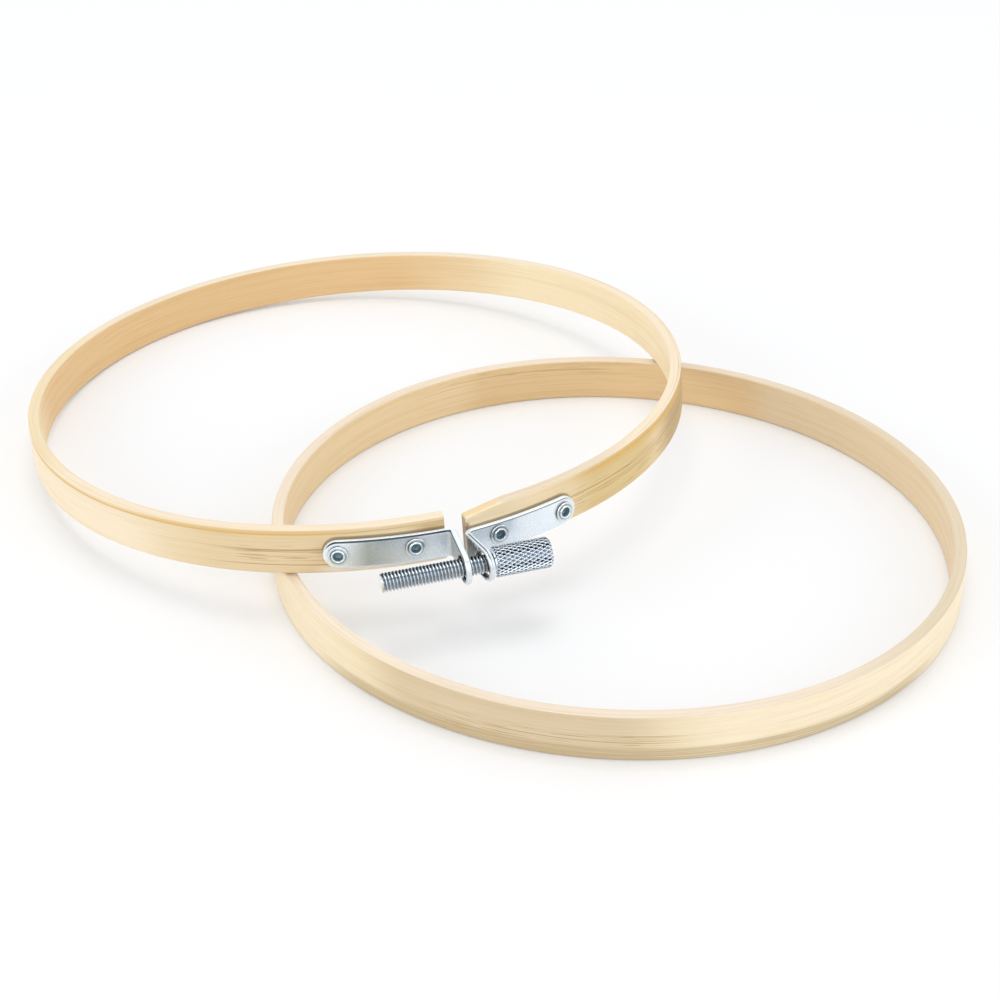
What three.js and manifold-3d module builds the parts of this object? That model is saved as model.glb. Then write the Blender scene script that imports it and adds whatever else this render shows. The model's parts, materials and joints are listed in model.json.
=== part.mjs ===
// Embroidery hoop in millimetres, +Z up: two bent bamboo rings. The split outer ring carries a riveted
// clamp with a thumbscrew across its gap. It lies on the closed inner ring, one side on the table.
import * as THREE from "three";
import { mergeVertices } from "three/addons/utils/BufferGeometryUtils.js";
import loadManifold from "manifold-3d";

const wasm = await loadManifold();
wasm.setup();

// Rings
const OUTER_RADIUS = 75;
const OUTER_WALL = 2.7;
const INNER_WALL = 2.7;
const RING_CLEARANCE = 0.5; // radial, with one ring nested in the other
const BAND_HEIGHT = 10;
const EDGE_FILLET = 0.6;
const OUTER_OVALITY = 0.5; // how far the radius swells along the long axis
const OUTER_LONG_AXIS = 99.8; // degrees
const INNER_OVALITY = 0.8;
const INNER_LONG_AXIS = -14.2; // degrees
const SEAM = 0.3; // slit opposite the gap, where the outer ring flexes

// How the rings lie
const OUTER_SHIFT_X = -57.3; // outer ring's centre, from the inner ring's
const OUTER_SHIFT_Y = 49;
const CONTACT_GAP = 0.3; // air between pieces that touch

// Gap in the outer ring
const GAP_ANGLE = -71; // degrees
const GAP_WIDTH = 4.3;
const TAPER_LENGTH = 9.5; // the head-side end's top edge slopes down to the gap
const TAPER_DROP = 1.6;
const TAPER_CURVE = 1.25; // 1 is a straight slope

// Brackets, bent from sheet
const SHEET = 1.2;
const PLATE_HEIGHT = 6.1;
const BEND_RADIUS = 0.6; // inside the bend
const EYE_WALL = 1.2; // round the bore of an eye
const NUT_PLATE_RISE = -0.1; // far rivet, above the band's middle
const NUT_PLATE_SLOPE = 1.3; // degrees down towards the gap
const NUT_EAR_OFFSET = -1; // ear's mid-plane along the band, from the middle of the gap
const NUT_EAR_LEAN = -1; // degrees towards the screw's head
const NUT_BORE_CLEARANCE = 0.3; // radial, round the thread
const HEAD_PLATE_RISE = -1.15;
const HEAD_PLATE_SLOPE = 2;
const HEAD_EAR_OFFSET = 1.7;
const HEAD_EAR_LEAN = 10;
const HEAD_BORE_CLEARANCE = 0.4;

// Rivets, with a flush head inside the ring and a rolled end on the bracket
const FIRST_RIVET = 8.55; // along the band, from the middle of the gap
const RIVET_PITCH = 15;
const RIVET_SHANK = 1.35;
const RIVET_BORE = 1.05;
const RIVET_BORE_DEPTH = 2.6;
const RIM_RADIUS = 2;
const RIM_HEIGHT = 0.7;
const RIVET_HEAD_RADIUS = 2.2;
const RIVET_HEAD_THICKNESS = 0.6;

// Thumbscrew
const SCREW_STANDOFF = 8.7; // axis, outwards from the band
const SCREW_RISE = -2.6; // axis at the gap, above the band's middle
const SCREW_DROOP = 2; // degrees that the head hangs down
const THREAD_RADIUS = 1.95;
const THREAD_PITCH = 0.7;
const THREAD_DEPTH = 0.42;
const THREAD_ROOT_SHARE = 0.25; // flat at the root, as a share of the pitch
const THREAD_CREST_SHARE = 0.13;
const THREAD_OVERHANG = 17.2; // from the nut eye's mid-plane to the screw's end
const THREAD_END_CHAMFER = 0.25;
const NECK_RADIUS = 2.35; // plain collar between the bracket and the knurl
const NECK_LENGTH = 0.3;
const KNURL_RADIUS = 3.15;
const KNURL_LENGTH = 11.6;
const KNURL_DEPTH = 0.34;
const KNURL_CHAMFER = 0.35;
const DIAMONDS_ROUND = 24;
const DIAMONDS_ALONG = 7;
const SPIGOT_RADIUS = 1.45; // plain end of the shank, inside the knurled head
const SPIGOT_LENGTH = 8;

// Fineness of round stretches
const RING_SEGMENTS = 108;
const FILLET_STEPS = 2;
const WEDGE_STEPS = 24;
const TAPER_STEPS = 8;
const PLATE_STEPS = 12;
const PLATE_END_SEGMENTS = 48;
const BEND_STEPS = 5;
const EYE_STEPS = 20;
const RIVET_SEGMENTS = 20;
const RIM_STEPS = 5;
const BORE_SEGMENTS = 24;
const THREAD_SEGMENTS = 12;

// Worked out from the sizes above
const radians = THREE.MathUtils.degToRad;
const INNER_RADIUS = OUTER_RADIUS - OUTER_WALL - RING_CLEARANCE;
const BAND_MIDDLE = BAND_HEIGHT / 2;
const GAP = radians(GAP_ANGLE);
const OUTWARD = new THREE.Vector3(Math.cos(GAP), Math.sin(GAP), 0);
const ALONG = new THREE.Vector3(-Math.sin(GAP), Math.cos(GAP), 0);
const UP = new THREE.Vector3(0, 0, 1);
const OVERCUT = 1; // how far a cutter runs past what it cuts

const bamboo = () => new THREE.MeshStandardMaterial({ color: 0xe8cf9c, roughness: 0.6, metalness: 0 });
const zinc = () => new THREE.MeshStandardMaterial({ color: 0xc6ccd2, roughness: 0.3, metalness: 1 });

// A closed geometry as a solid that can be joined and cut.
function solid(geometry) {
  const shape = geometry.clone();
  shape.deleteAttribute("normal");
  shape.deleteAttribute("uv");
  const welded = mergeVertices(shape);
  const index = welded.index.array;
  const corners = [];
  for (let i = 0; i < index.length; i += 3) {
    const [a, b, c] = index.slice(i, i + 3);
    if (a !== b && b !== c && c !== a) corners.push(a, b, c);
  }
  const vertProperties = Float32Array.from(welded.attributes.position.array);
  const triVerts = Uint32Array.from(corners);
  return new wasm.Manifold(new wasm.Mesh({ numProp: 3, vertProperties, triVerts }));
}

function piece(name, body, material) {
  const { vertProperties, triVerts } = body.getMesh();
  const geometry = new THREE.BufferGeometry();
  geometry.setAttribute("position", new THREE.BufferAttribute(vertProperties, 3));
  geometry.setIndex(new THREE.BufferAttribute(triVerts, 1));
  geometry.computeVertexNormals();
  const mesh = new THREE.Mesh(geometry, material);
  mesh.name = name;
  return mesh;
}

// A cylinder from one point to another.
function rod(radius, from, to, segments) {
  const axis = to.clone().sub(from);
  const cylinder = new THREE.CylinderGeometry(radius, radius, axis.length(), segments);
  const turned = new THREE.Quaternion().setFromUnitVectors(new THREE.Vector3(0, 1, 0), axis.normalize());
  cylinder.applyQuaternion(turned);
  const middle = from.clone().add(to).multiplyScalar(0.5);
  return solid(cylinder.translate(middle.x, middle.y, middle.z));
}

// A profile of [radius, height] points spun about +Z.
function spun(profile, segments) {
  const points = profile.map(([radius, height]) => new THREE.Vector2(radius, height));
  return new THREE.LatheGeometry(points, segments).rotateX(Math.PI / 2);
}

const extruded = (outline, depth, curveSegments) =>
  new THREE.ExtrudeGeometry(outline, { depth, bevelEnabled: false, curveSegments });

// A prism about the ring's axis, between two angles and two heights.
function wedge(from, to, low, high, radius) {
  const [first, last] = [Math.min(from, to), Math.max(from, to)];
  const outline = new THREE.Shape();
  outline.moveTo(0, 0);
  outline.lineTo(radius * Math.cos(first), radius * Math.sin(first));
  outline.absarc(0, 0, radius, first, last, false);
  const prism = extruded(outline, high - low, WEDGE_STEPS);
  return prism.translate(0, 0, low);
}

// A shear that lifts what lies along the band from a point, by a slope, and leaves the point where it is.
function slopeAlong(slope, point) {
  const [x, y] = [slope * ALONG.x, slope * ALONG.y];
  return new THREE.Matrix4().set(1, 0, 0, 0, 0, 1, 0, 0, x, y, 1, -x * point.x - y * point.y, 0, 0, 0, 1);
}

// A closed tube from a grid of points: columns go round and rows go along +Z. The last column meets the first
// one some rows further on, so that a thread closes on itself. Both ends are fanned to the axis.
function tube(columns, rows, pointAt, climb) {
  const positions = [];
  for (let i = 0; i < columns; i++) {
    for (let j = 0; j <= rows; j++) positions.push(...pointAt(i, j));
  }
  const id = (i, j) => i * (rows + 1) + j;
  const faces = [];
  for (let i = 0; i < columns; i++) {
    const lift = i === columns - 1 ? climb : 0;
    const next = (i + 1) % columns;
    for (let j = 0; j + lift < rows; j++) {
      const [a, b, c, d] = [id(i, j), id(next, j + lift), id(next, j + lift + 1), id(i, j + 1)];
      if ((i + j) % 2) faces.push(a, b, c, a, c, d);
      else faces.push(a, b, d, b, c, d);
    }
  }
  const bottom = Array.from({ length: columns }, (_, i) => id(i, 0));
  const top = Array.from({ length: columns }, (_, i) => id(i, rows));
  for (let step = climb; step > 0; step--) {
    bottom.push(id(0, step));
    top.push(id(columns - 1, rows - 1 - climb + step));
  }
  const lowest = positions.length / 3;
  positions.push(0, 0, pointAt(0, 0)[2], 0, 0, pointAt(columns - 1, rows)[2]);
  bottom.forEach((corner, k) => faces.push(lowest, bottom[(k + 1) % bottom.length], corner));
  top.forEach((corner, k) => faces.push(lowest + 1, corner, top[(k + 1) % top.length]));
  const geometry = new THREE.BufferGeometry();
  geometry.setAttribute("position", new THREE.Float32BufferAttribute(positions, 3));
  geometry.setIndex(faces);
  return solid(geometry);
}

// Rings
const swell = (angle, ovality, longAxis) => ovality * Math.cos(2 * (angle - radians(longAxis)));
const outerRadiusAt = (angle) => OUTER_RADIUS + swell(angle, OUTER_OVALITY, OUTER_LONG_AXIS);
const radial = (angle) => new THREE.Vector3(Math.cos(angle), Math.sin(angle), 0);

// The band's section, a rectangle with filleted corners, as a closed profile.
function bandSection(radius, wall) {
  const corners = [
    [radius - EDGE_FILLET, EDGE_FILLET],
    [radius - EDGE_FILLET, BAND_HEIGHT - EDGE_FILLET],
    [radius - wall + EDGE_FILLET, BAND_HEIGHT - EDGE_FILLET],
    [radius - wall + EDGE_FILLET, EDGE_FILLET],
  ];
  const section = [];
  corners.forEach(([x, y], corner) => {
    for (let step = 0; step <= FILLET_STEPS; step++) {
      const turn = (corner - 1 + step / FILLET_STEPS) * (Math.PI / 2);
      section.push([x + EDGE_FILLET * Math.cos(turn), y + EDGE_FILLET * Math.sin(turn)]);
    }
  });
  return [...section, section[0]];
}

function band(radius, wall, ovality, longAxis) {
  const ring = spun(bandSection(radius, wall), RING_SEGMENTS);
  const place = ring.attributes.position;
  for (let i = 0; i < place.count; i++) {
    const angle = Math.atan2(place.getY(i), place.getX(i));
    const grown = Math.hypot(place.getX(i), place.getY(i)) + swell(angle, ovality, longAxis);
    place.setXY(i, grown * Math.cos(angle), grown * Math.sin(angle));
  }
  return solid(ring);
}

// A block that slopes the head-side end's top edge down to the gap.
function endTaper(endAngle) {
  const outline = new THREE.Shape();
  outline.moveTo(-OVERCUT, -OVERCUT);
  outline.lineTo(-OVERCUT, TAPER_DROP);
  for (let step = 0; step <= TAPER_STEPS; step++) {
    const share = step / TAPER_STEPS;
    outline.lineTo(share * TAPER_LENGTH, TAPER_DROP * (1 - share) ** TAPER_CURVE);
  }
  outline.lineTo(TAPER_LENGTH, -OVERCUT);
  const block = extruded(outline, OUTER_WALL + 2 * OVERCUT, 1);
  const alongBand = new THREE.Vector3(-Math.sin(endAngle), Math.cos(endAngle), 0);
  const inwards = radial(endAngle).negate();
  const outside = radial(endAngle).multiplyScalar(outerRadiusAt(endAngle) + OVERCUT).setZ(BAND_HEIGHT);
  const basis = new THREE.Matrix4().makeBasis(alongBand, UP.clone().negate(), inwards);
  block.applyMatrix4(basis.setPosition(outside));
  return solid(block);
}

const rivetDistances = [FIRST_RIVET, FIRST_RIVET + RIVET_PITCH];
const rivetAngles = (side) => rivetDistances.map((distance) => GAP + (side * distance) / OUTER_RADIUS);

// Half of the outer ring, from the gap to the slit opposite, drilled for its flush rivets.
function outerHalf({ side, rise }) {
  const gapEnd = GAP + (side * GAP_WIDTH) / 2 / OUTER_RADIUS;
  const seamEnd = GAP + side * (Math.PI - SEAM / 2 / OUTER_RADIUS);
  const sector = solid(wedge(gapEnd, seamEnd, -OVERCUT, BAND_HEIGHT + OVERCUT, 2 * OUTER_RADIUS));
  let half = band(OUTER_RADIUS, OUTER_WALL, OUTER_OVALITY, OUTER_LONG_AXIS).intersect(sector);
  if (side === HEAD.side) half = half.subtract(endTaper(gapEnd));
  for (const angle of rivetAngles(side)) {
    const face = outerRadiusAt(angle);
    const at = (depth) => radial(angle).multiplyScalar(face - depth).setZ(BAND_MIDDLE + rise);
    const sunk = OUTER_WALL - RIVET_HEAD_THICKNESS - CONTACT_GAP;
    const holeRadius = RIVET_SHANK + CONTACT_GAP;
    const recessRadius = RIVET_HEAD_RADIUS + CONTACT_GAP;
    half = half.subtract(rod(holeRadius, at(OUTER_WALL + OVERCUT), at(-OVERCUT), RIVET_SEGMENTS));
    half = half.subtract(rod(recessRadius, at(OUTER_WALL + OVERCUT), at(sunk), RIVET_SEGMENTS));
  }
  return half;
}

// Screw axis, which crosses the middle of the gap
const screwDirection = ALONG.clone()
  .multiplyScalar(Math.cos(radians(SCREW_DROOP)))
  .addScaledVector(UP, -Math.sin(radians(SCREW_DROOP)));
const screwOrigin = OUTWARD.clone()
  .multiplyScalar(outerRadiusAt(GAP) + SCREW_STANDOFF)
  .setZ(BAND_MIDDLE + SCREW_RISE);

// Brackets: side 1 carries the screw's head and side -1 is its nut
const NUT = {
  side: -1,
  rise: NUT_PLATE_RISE,
  slope: Math.tan(radians(NUT_PLATE_SLOPE)),
  offset: NUT_EAR_OFFSET,
  lean: radians(NUT_EAR_LEAN),
  bore: THREAD_RADIUS + NUT_BORE_CLEARANCE,
};
const HEAD = {
  side: 1,
  rise: HEAD_PLATE_RISE,
  slope: Math.tan(radians(HEAD_PLATE_SLOPE)),
  offset: HEAD_EAR_OFFSET,
  lean: radians(HEAD_EAR_LEAN),
  bore: THREAD_RADIUS + HEAD_BORE_CLEARANCE,
};

// The ear's fold on the plate, its direction outwards and its eye's centre.
function earOf({ offset, lean, bore }) {
  const angle = GAP + offset / OUTER_RADIUS;
  const fold = radial(angle).multiplyScalar(outerRadiusAt(angle) + CONTACT_GAP + SHEET / 2);
  const reach = OUTWARD.clone()
    .multiplyScalar(Math.cos(lean))
    .addScaledVector(ALONG, Math.sin(lean));
  const normal = new THREE.Vector3().crossVectors(UP, reach);
  const run = fold.clone().sub(screwOrigin).dot(normal) / screwDirection.dot(normal);
  const eye = screwOrigin.clone().addScaledVector(screwDirection, run);
  return { angle, fold, reach, run, eye, eyeRadius: bore + EYE_WALL };
}

// Where the line from a corner touches the eye's circle, as an angle on the circle.
function touchAngle(eyeX, eyeY, radius, cornerX, cornerY, side) {
  const toCorner = Math.atan2(cornerY - eyeY, cornerX - eyeX);
  const spread = Math.acos(Math.min(1, radius / Math.hypot(cornerX - eyeX, cornerY - eyeY)));
  return toCorner + side * spread;
}

// The bent sheet seen along Z: the plate's arc, the bend and the straight ear.
function sheetOutline(side, ear, bendLength, turn, plateEnd) {
  const towardsGap = new THREE.Vector3(-Math.sin(ear.angle), Math.cos(ear.angle), 0).multiplyScalar(-side);
  const outwards = radial(ear.angle);
  const bendMiddle = BEND_RADIUS + SHEET / 2;
  const bendStart = ear.fold.clone().addScaledVector(towardsGap, -bendLength);
  const bendCentre = bendStart.clone().addScaledVector(outwards, bendMiddle);
  const path = [];
  const lastAngle = ear.angle + (side * bendLength) / OUTER_RADIUS;
  for (let step = 0; step < PLATE_STEPS; step++) {
    const angle = THREE.MathUtils.lerp(plateEnd, lastAngle, step / PLATE_STEPS);
    const face = radial(angle);
    path.push([face.clone().multiplyScalar(outerRadiusAt(angle) + CONTACT_GAP + SHEET / 2), face]);
  }
  for (let step = 0; step <= BEND_STEPS; step++) {
    const bent = (turn * step) / BEND_STEPS;
    const face = outwards.clone().multiplyScalar(Math.cos(bent));
    face.addScaledVector(towardsGap, -Math.sin(bent));
    path.push([bendCentre.clone().addScaledVector(face, -bendMiddle), face]);
  }
  const earFace = path[path.length - 1][1];
  const earLength = ear.eye.distanceTo(ear.fold) + ear.eyeRadius + OVERCUT;
  path.push([ear.fold.clone().addScaledVector(ear.reach, earLength), earFace]);
  const edge = (way) => path.map(([point, face]) => point.clone().addScaledVector(face, (way * SHEET) / 2));
  const corners = [...edge(1), ...edge(-1).reverse()];
  return new THREE.Shape(corners.map(({ x, y }) => new THREE.Vector2(x, y)));
}

function bracket(kind) {
  const { side, slope } = kind;
  const ear = earOf(kind);
  const rivets = rivetAngles(side);
  const middle = BAND_MIDDLE + kind.rise;
  const fall = slope * (rivetDistances[1] - Math.abs(kind.offset));
  const low = middle - fall - PLATE_HEIGHT / 2;
  const high = low + PLATE_HEIGHT;
  const endAngle = rivets[1] + (side * PLATE_HEIGHT) / OUTER_RADIUS;
  const turn = Math.PI / 2 + side * (kind.lean + GAP - ear.angle);
  const bendLength = (BEND_RADIUS + SHEET / 2) * Math.tan(turn / 2);

  const floor = Math.min(low, ear.eye.z - ear.eyeRadius) - OVERCUT;
  const ceiling = Math.max(middle + PLATE_HEIGHT / 2, ear.eye.z + ear.eyeRadius) + OVERCUT;
  const outline = sheetOutline(side, ear, bendLength, turn, endAngle);
  const sheet = extruded(outline, ceiling - floor, 1);
  sheet.translate(0, 0, floor);

  // The plate's side view: straight edges that slope down to the gap, and a round end at the far rivet.
  const at = (angle, above) => radial(angle).multiplyScalar(outerRadiusAt(angle) + above).setZ(middle);
  const plateTop = CONTACT_GAP + SHEET + BEND_RADIUS;
  const straight = wedge(rivets[1], ear.angle, low, high, outerRadiusAt(ear.angle) + plateTop);
  straight.applyMatrix4(slopeAlong(side * slope, ear.fold));
  const farRivet = [at(rivets[1], -OVERCUT), at(rivets[1], plateTop)];
  const roundEnd = rod(PLATE_HEIGHT / 2, ...farRivet, PLATE_END_SEGMENTS);

  // The ear's side view: it narrows from the plate's height to a round eye.
  const eyeX = ear.eye.clone().sub(ear.fold).dot(ear.reach);
  const lowTouch = touchAngle(eyeX, ear.eye.z, ear.eyeRadius, bendLength, low, 1);
  const highTouch = touchAngle(eyeX, ear.eye.z, ear.eyeRadius, bendLength, high, -1);
  const earShape = new THREE.Shape();
  earShape.moveTo(-2 * SHEET, low);
  earShape.lineTo(bendLength, low);
  earShape.absarc(eyeX, ear.eye.z, ear.eyeRadius, lowTouch, highTouch, false);
  earShape.lineTo(bendLength, high);
  earShape.lineTo(-2 * SHEET, high);
  const width = 2 * (bendLength + SHEET + OVERCUT);
  const earPrism = extruded(earShape, width, EYE_STEPS);
  const across = new THREE.Vector3().crossVectors(ear.reach, UP);
  const corner = ear.fold.clone().setZ(0).addScaledVector(across, -width / 2);
  earPrism.applyMatrix4(new THREE.Matrix4().makeBasis(ear.reach, UP, across).setPosition(corner));

  const profile = solid(straight).add(roundEnd).add(solid(earPrism));
  const boreEnd = (way) => ear.eye.clone().addScaledVector(screwDirection, way * (SHEET + OVERCUT));
  const bore = rod(kind.bore, boreEnd(-1), boreEnd(1), BORE_SEGMENTS);
  let body = solid(sheet).intersect(profile).subtract(bore);
  for (const angle of rivets) {
    const hole = rod(RIVET_SHANK + CONTACT_GAP, at(angle, -OVERCUT), at(angle, plateTop), RIVET_SEGMENTS);
    body = body.subtract(hole);
  }
  return body;
}

// A tubular rivet about +Z, whose zero is the band's outer face.
function rivetShape() {
  const rimBase = CONTACT_GAP + SHEET + CONTACT_GAP;
  const boreFloor = rimBase + RIM_HEIGHT - RIVET_BORE_DEPTH;
  const headTop = RIVET_HEAD_THICKNESS - OUTER_WALL;
  const rimMiddle = (RIM_RADIUS + RIVET_BORE) / 2;
  const rimHalf = (RIM_RADIUS - RIVET_BORE) / 2;
  const profile = [
    [0, -OUTER_WALL],
    [RIVET_HEAD_RADIUS, -OUTER_WALL],
    [RIVET_HEAD_RADIUS, headTop],
    [RIVET_SHANK, headTop],
    [RIVET_SHANK, rimBase],
  ];
  for (let step = 0; step <= RIM_STEPS; step++) {
    const turn = (Math.PI * step) / RIM_STEPS;
    profile.push([rimMiddle + rimHalf * Math.cos(turn), rimBase + RIM_HEIGHT * Math.sin(turn)]);
  }
  profile.push([RIVET_BORE, boreFloor], [0, boreFloor]);
  return solid(spun(profile, RIVET_SEGMENTS));
}

function rivet(name, angle, height) {
  const mesh = piece(name, rivetShape(), zinc());
  mesh.position.copy(radial(angle).multiplyScalar(outerRadiusAt(angle)).setZ(height));
  mesh.quaternion.setFromUnitVectors(UP, radial(angle));
  return mesh;
}

// The thumbscrew lies along its own +Z, towards the head, with zero at the middle of the gap.
function headFace() {
  const ear = earOf(HEAD);
  const lean = Math.abs(HEAD.lean);
  const reach = Math.min(NECK_RADIUS, ear.eyeRadius);
  return ear.run + SHEET / 2 / Math.cos(lean) + reach * Math.tan(lean) + CONTACT_GAP;
}

function shank() {
  const start = earOf(NUT).run - THREAD_OVERHANG;
  const end = headFace() - CONTACT_GAP;
  const root = THREAD_RADIUS - THREAD_DEPTH;
  const flank = (1 - THREAD_ROOT_SHARE - THREAD_CREST_SHARE) / 2;
  const ridge = [
    [0, root],
    [THREAD_ROOT_SHARE, root],
    [THREAD_ROOT_SHARE + flank, THREAD_RADIUS],
    [1 - flank, THREAD_RADIUS],
  ];
  const turns = Math.ceil((end - start) / THREAD_PITCH) + 4;
  const onThread = (i, j) => {
    const [share, radius] = ridge[j % ridge.length];
    const along = Math.floor(j / ridge.length) + i / THREAD_SEGMENTS + share - 2;
    const turn = (2 * Math.PI * i) / THREAD_SEGMENTS;
    return [radius * Math.cos(turn), radius * Math.sin(turn), start + along * THREAD_PITCH];
  };
  const helix = tube(THREAD_SEGMENTS, turns * ridge.length, onThread, ridge.length);
  const sleeveRadius = THREAD_RADIUS + OVERCUT;
  const sleeve = [
    [0, start],
    [THREAD_RADIUS - THREAD_END_CHAMFER, start],
    [sleeveRadius, start + THREAD_END_CHAMFER + OVERCUT],
    [sleeveRadius, end],
    [0, end],
  ];
  const spigotStart = new THREE.Vector3(0, 0, end - OVERCUT);
  const spigotEnd = new THREE.Vector3(0, 0, end + CONTACT_GAP + SPIGOT_LENGTH);
  const spigot = rod(SPIGOT_RADIUS, spigotStart, spigotEnd, BORE_SEGMENTS);
  return helix.intersect(solid(spun(sleeve, BORE_SEGMENTS))).add(spigot);
}

// The head's skin is a grid of low pyramids with chamfered ends. A plain neck leads to it, and the shank's
// spigot fits a blind bore.
function knurledHead() {
  const neckFace = headFace();
  const face = neckFace + NECK_LENGTH;
  const columns = 2 * DIAMONDS_ROUND;
  const rows = 2 * DIAMONDS_ALONG;
  const onKnurl = (i, j) => {
    const atEnd = j === 0 || j === rows;
    const raised = (i + j) % 2 === 0 ? 0 : KNURL_DEPTH;
    const radius = KNURL_RADIUS - (atEnd ? KNURL_CHAMFER : raised);
    const inner = KNURL_LENGTH - 2 * KNURL_CHAMFER;
    const along = KNURL_CHAMFER + (inner * (j - 1)) / (rows - 2);
    const height = THREE.MathUtils.clamp(along, 0, KNURL_LENGTH);
    const turn = (2 * Math.PI * i) / columns;
    return [radius * Math.cos(turn), radius * Math.sin(turn), face + height];
  };
  const skin = tube(columns, rows, onKnurl, 0);
  const onAxis = (along) => new THREE.Vector3(0, 0, along);
  const neck = rod(NECK_RADIUS, onAxis(neckFace), onAxis(face + OVERCUT), BORE_SEGMENTS);
  const boreStart = onAxis(neckFace - OVERCUT);
  const boreEnd = onAxis(neckFace + SPIGOT_LENGTH + CONTACT_GAP);
  return skin.add(neck).subtract(rod(SPIGOT_RADIUS + CONTACT_GAP, boreStart, boreEnd, BORE_SEGMENTS));
}

const screw = new THREE.Group();
screw.add(piece("screw_shank", shank(), zinc()));
screw.add(piece("knurled_head", knurledHead(), zinc()));
screw.position.copy(screwOrigin);
screw.quaternion.setFromUnitVectors(UP, screwDirection);

const outerRing = new THREE.Group();
outerRing.add(piece("outer_ring_nut_side", outerHalf(NUT), bamboo()));
outerRing.add(piece("outer_ring_head_side", outerHalf(HEAD), bamboo()));
outerRing.add(piece("nut_side_bracket", bracket(NUT), zinc()));
outerRing.add(piece("head_side_bracket", bracket(HEAD), zinc()));
for (const [label, kind] of [["nut_side", NUT], ["head_side", HEAD]]) {
  rivetAngles(kind.side).forEach((angle, k) => {
    outerRing.add(rivet(`${label}_rivet_${["near", "far"][k]}`, angle, BAND_MIDDLE + kind.rise));
  });
}
outerRing.add(screw);

// The outer ring tilts until its underside lies on the inner ring's top edge where the two circles cross,
// with its far bottom edge on the table.
const spread = Math.hypot(OUTER_SHIFT_X, OUTER_SHIFT_Y);
const towardsInner = new THREE.Vector2(-OUTER_SHIFT_X / spread, -OUTER_SHIFT_Y / spread);
const crossings = [];
for (const outerEdge of [OUTER_RADIUS - EDGE_FILLET, OUTER_RADIUS - OUTER_WALL + EDGE_FILLET]) {
  for (const innerEdge of [INNER_RADIUS - EDGE_FILLET, INNER_RADIUS - INNER_WALL + EDGE_FILLET]) {
    crossings.push((spread ** 2 + outerEdge ** 2 - innerEdge ** 2) / (2 * spread));
  }
}
const footRadius = OUTER_RADIUS - EDGE_FILLET;
const tilt = Math.atan2(BAND_HEIGHT + CONTACT_GAP, Math.min(...crossings) + footRadius);
const tiltAxis = new THREE.Vector3(towardsInner.y, -towardsInner.x, 0);
outerRing.quaternion.setFromAxisAngle(tiltAxis, tilt);
outerRing.position.set(OUTER_SHIFT_X, OUTER_SHIFT_Y, footRadius * Math.sin(tilt));

const innerBand = band(INNER_RADIUS, INNER_WALL, INNER_OVALITY, INNER_LONG_AXIS);
const innerRing = piece("inner_ring", innerBand, bamboo());

// The hoop's origin is the middle of its footprint, on the table.
const hoop = new THREE.Group();
hoop.add(innerRing, outerRing);
const bounds = new THREE.Box3().setFromObject(hoop, true);
const centre = bounds.getCenter(new THREE.Vector3());
hoop.position.set(-centre.x, -centre.y, -bounds.min.z);

export default hoop;
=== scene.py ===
# Embroidery hoop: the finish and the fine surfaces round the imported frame, in metres.
import json
import math

import bmesh
import bpy
import numpy as np
from mathutils import Matrix, Vector
from mathutils.geometry import delaunay_2d_cdt


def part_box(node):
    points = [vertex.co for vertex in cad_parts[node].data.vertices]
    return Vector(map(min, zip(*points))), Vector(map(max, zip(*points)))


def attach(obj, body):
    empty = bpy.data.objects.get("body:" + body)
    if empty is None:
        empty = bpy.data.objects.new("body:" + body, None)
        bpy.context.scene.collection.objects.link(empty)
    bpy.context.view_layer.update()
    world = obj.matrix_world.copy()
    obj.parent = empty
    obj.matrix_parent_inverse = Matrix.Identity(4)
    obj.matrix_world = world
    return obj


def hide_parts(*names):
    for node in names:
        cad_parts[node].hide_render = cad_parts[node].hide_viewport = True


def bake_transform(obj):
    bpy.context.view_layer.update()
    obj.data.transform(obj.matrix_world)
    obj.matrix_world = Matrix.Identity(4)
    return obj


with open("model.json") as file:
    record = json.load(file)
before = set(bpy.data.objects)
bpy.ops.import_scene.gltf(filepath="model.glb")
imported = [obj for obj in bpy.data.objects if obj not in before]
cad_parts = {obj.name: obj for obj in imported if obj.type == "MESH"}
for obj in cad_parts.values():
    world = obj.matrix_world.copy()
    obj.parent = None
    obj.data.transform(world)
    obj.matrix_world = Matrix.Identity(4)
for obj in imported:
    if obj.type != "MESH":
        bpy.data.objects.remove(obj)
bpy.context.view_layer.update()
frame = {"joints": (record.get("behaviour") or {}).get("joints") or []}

MM = 0.001

# Rings
OUTER_RADIUS = 75 * MM
OUTER_WALL = 2.7 * MM  # the inner ring's too
INNER_RADIUS = 71.8 * MM
BAND_HEIGHT = 10 * MM
TOP_FILLET = 0.42 * MM
FOOT_FILLET = 0.6 * MM
OUTER_OVALITY = 0.5 * MM
OUTER_LONG_AXIS = math.radians(170.8)  # from the gap
INNER_OVALITY = 0.8 * MM
INNER_LONG_AXIS = math.radians(-14.2)
GAP_WIDTH = 4.3 * MM
END_FILLET = 0.3 * MM
TAPER_LENGTH = 9.5 * MM
TAPER_DROP = 1.6 * MM
TAPER_CURVE = 1.25
WAVER = 0.06 * MM  # how far the bent strips wander
CROWN = 0.05 * MM  # how far a strip is thinner at its edges

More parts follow.
